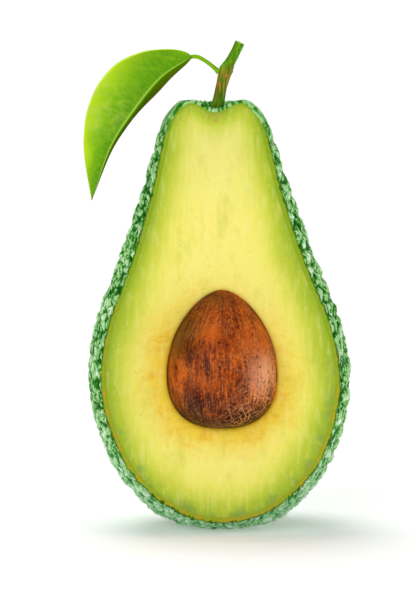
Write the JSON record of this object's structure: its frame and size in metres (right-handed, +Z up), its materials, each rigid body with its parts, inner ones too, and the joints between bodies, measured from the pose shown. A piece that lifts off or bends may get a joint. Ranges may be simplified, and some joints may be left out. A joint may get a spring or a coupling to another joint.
{
  "type": "avocado half",
  "caption": "Half an avocado cut lengthwise, seed in place, with stem and leaf, standing on a small flat spot at its blossom end.",
  "frame": {"origin": "centre of the small flat spot under the blossom end, on the surface that the fruit stands on", "axes": "+Z up from the blossom end to the stem; the cut face looks along -Y and the rounded back along +Y; +X is to the right when facing the cut"},
  "size_m": [0.0676, 0.0603, 0.1251],
  "materials": {
    "skin": "pebbled peel, dark green in its furrows and pale mint on its bumps, satin",
    "flesh": "moist cut pulp, green at the rim to yellow round the seed",
    "seed": "smooth red-brown coat with fine pale cracks, satin",
    "stem": "green bark with brown streaks, dry",
    "leaf": "waxy leaf with fine veins, satin"
  },
  "bodies": {
    "root": {"skin": "skin", "flesh": "flesh", "seed": "seed", "stem": "stem", "leaf": "leaf"}
  },
  "joints": []
}
